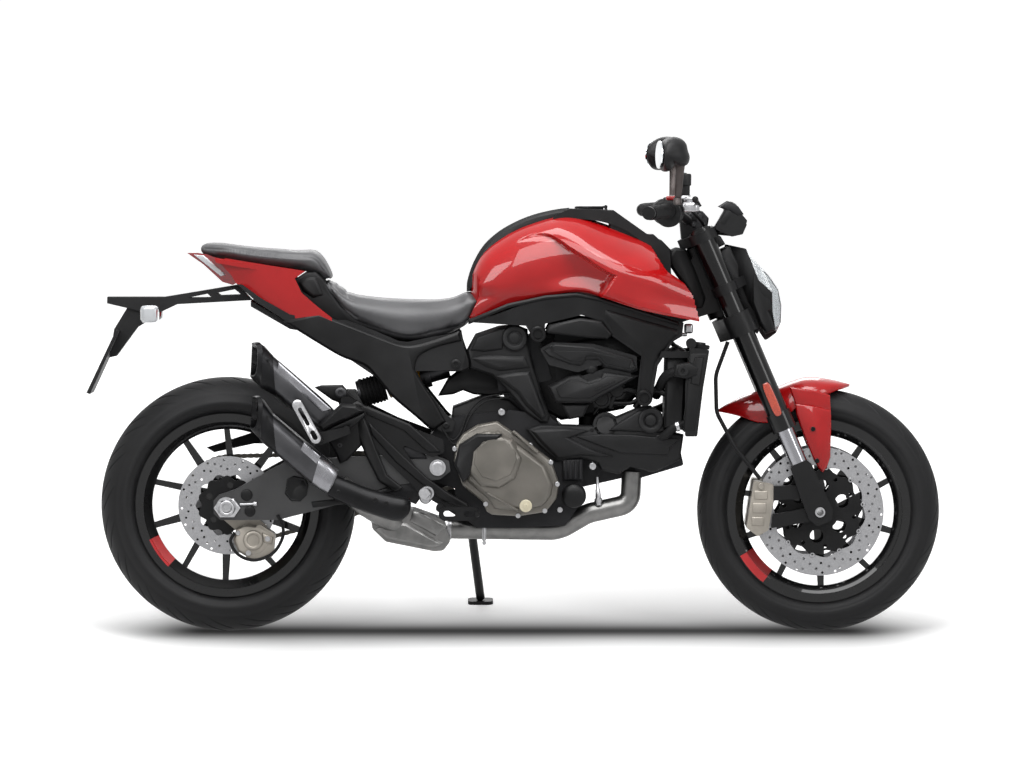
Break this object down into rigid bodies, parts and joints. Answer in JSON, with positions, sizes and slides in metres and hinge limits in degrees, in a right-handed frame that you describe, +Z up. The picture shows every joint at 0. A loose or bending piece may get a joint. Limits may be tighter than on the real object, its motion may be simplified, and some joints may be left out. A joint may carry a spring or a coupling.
{
  "type": "standard motorcycle",
  "caption": "Naked standard motorcycle with a twin-cylinder engine, leaning on its side stand, with turning wheels, steering, folding stand and pegs.",
  "frame": {"origin": "on the floor under the middle of the whole motorcycle's box, as it stands leaning on its side stand", "axes": "+X towards the front wheel, +Y to the rider's left, +Z up from the floor"},
  "size_m": [2.1228, 0.8464, 1.279],
  "materials": {
    "tyre_rubber": "matte",
    "black_wheel": "satin",
    "disc_steel": "brushed",
    "chain_steel": "satin",
    "bare_alloy": "satin",
    "black_alloy": "satin",
    "chrome_slider": "polished",
    "caliper_grey": "satin",
    "red_paint": "gloss",
    "black_plastic": "matte",
    "lamp_glass": "gloss",
    "red_lens": "gloss",
    "black_rubber": "matte",
    "engine_grey": "satin",
    "magnesium_grey": "satin",
    "radiator_black": "matte",
    "shock_body": "satin",
    "gold_spring": "gloss",
    "silencer_metal": "satin",
    "pipe_steel": "satin",
    "cap_alloy": "satin",
    "seat_cover": "matte"
  },
  "bodies": {
    "chassis": {"engine_block": "engine_grey", "engine_covers": "magnesium_grey", "belt_covers": "black_plastic", "air_covers": "black_plastic", "radiator": "radiator_black", "front_frame": "black_alloy", "seat_subframe": "black_plastic", "swingarm": "black_alloy", "swingarm_pivot": "bare_alloy", "rear_axle": "bare_alloy", "rear_caliper": "caliper_grey", "drive_chain": "chain_steel", "output_sprocket": "disc_steel", "chain_guard": "black_plastic", "shock_absorber": "shock_body", "shock_spring": "gold_spring", "silencers": "silencer_metal", "silencer_caps": "black_plastic", "exhaust_pipes": "pipe_steel", "exhaust_shield": "black_plastic", "fuel_tank": "red_paint", "tank_top_cover": "black_plastic", "rider_seat": "seat_cover", "passenger_seat": "seat_cover", "tail_fairing": "red_paint", "rear_lights": "red_lens", "plate_bracket": "black_plastic", "footpeg_brackets": "black_alloy", "rider_pegs": "bare_alloy", "foot_levers": "black_alloy"},
    "front_wheel": {"front_tyre": "tyre_rubber", "front_rim": "black_wheel", "front_discs": "disc_steel"},
    "rear_wheel": {"rear_tyre": "tyre_rubber", "rear_rim": "black_wheel", "rear_disc": "disc_steel", "rear_sprocket": "disc_steel"},
    "steering": {"front_axle": "bare_alloy", "yokes": "black_alloy", "fork_tubes": "black_alloy", "fork_legs": "chrome_slider", "front_calipers": "caliper_grey", "front_fender": "red_paint", "headlight_shell": "black_plastic", "headlight_lens": "lamp_glass", "headlight_bracket": "black_alloy", "dashboard": "black_plastic", "bar_risers": "bare_alloy", "handlebar": "black_alloy", "grips": "black_rubber", "bar_controls": "black_plastic", "mirrors": "black_plastic", "brake_hose": "black_rubber"},
    "side_stand": {"side_stand": "black_alloy"},
    "fuel_cap": {"fuel_cap": "cap_alloy"},
    "passenger_peg_right": {"passenger_peg_right": "bare_alloy"},
    "passenger_peg_left": {"passenger_peg_left": "bare_alloy"}
  },
  "joints": [
    {"name": "steering", "type": "hinge", "parent": "chassis", "child": "steering", "pos_m": [0.4965, -0.05633, 0.83072], "axis": [-0.3923, 0.1597, 0.9058], "range_deg": [-30, 30]},
    {"name": "front_wheel_spin", "type": "hinge", "parent": "steering", "child": "front_wheel", "pos_m": [0.7595, -0.15012, 0.29881], "axis": [0, 0.9848, -0.1736], "continuous": true},
    {"name": "rear_wheel_spin", "type": "hinge", "parent": "chassis", "child": "rear_wheel", "pos_m": [-0.7125, -0.14752, 0.31358], "axis": [0, 0.9848, -0.1736], "continuous": true},
    {"name": "side_stand_fold", "type": "hinge", "parent": "chassis", "child": "side_stand", "pos_m": [-0.1085, -0.04086, 0.23892], "axis": [0.0967, 0.8662, 0.4902], "range_deg": [0, 87]},
    {"name": "fuel_cap_hinge", "type": "hinge", "parent": "chassis", "child": "fuel_cap", "pos_m": [0.2295, -0.01877, 1.04371], "axis": [0, 0.9848, -0.1736], "range_deg": [0, 90]},
    {"name": "passenger_peg_right_fold", "type": "hinge", "parent": "chassis", "child": "passenger_peg_right", "pos_m": [-0.4845, -0.38013, 0.5262], "axis": [0.8788, 0.0829, 0.4699], "range_deg": [0, 82]},
    {"name": "passenger_peg_left_fold", "type": "hinge", "parent": "chassis", "child": "passenger_peg_left", "pos_m": [-0.4845, 0.09258, 0.44285], "axis": [-0.8788, -0.0829, -0.4699], "range_deg": [0, 82]}
  ]
}
